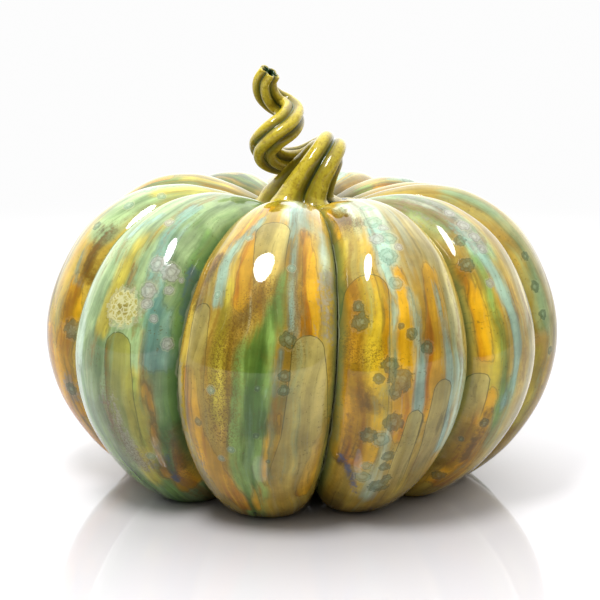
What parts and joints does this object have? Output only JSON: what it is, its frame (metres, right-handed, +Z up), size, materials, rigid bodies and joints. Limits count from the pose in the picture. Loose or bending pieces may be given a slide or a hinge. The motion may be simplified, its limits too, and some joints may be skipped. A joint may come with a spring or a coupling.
{
  "type": "ceramic pumpkin figure",
  "caption": "Hollow ribbed pumpkin in glazed stoneware with a fluted, curling stem luted to its crown; stands on flats under its ribs.",
  "frame": {"origin": "on the resting plane, under the middle of the body's box", "axes": "+Z up from the foot to the stem, -Y towards the front, where the stem leans to +X and its coil stands to -X"},
  "size_m": [0.2956, 0.2918, 0.2387],
  "materials": {
    "crystalline_glaze": "gloss, running streaks of amber, olive, sea green and pale blue with ringed crystals",
    "olive_glaze": "gloss, darker where it pools between the flutes",
    "fired_slip": "matt, unglazed"
  },
  "bodies": {
    "root": {"body_shell": "crystalline_glaze", "stem": "olive_glaze", "luting_ring": "fired_slip"}
  },
  "joints": []
}
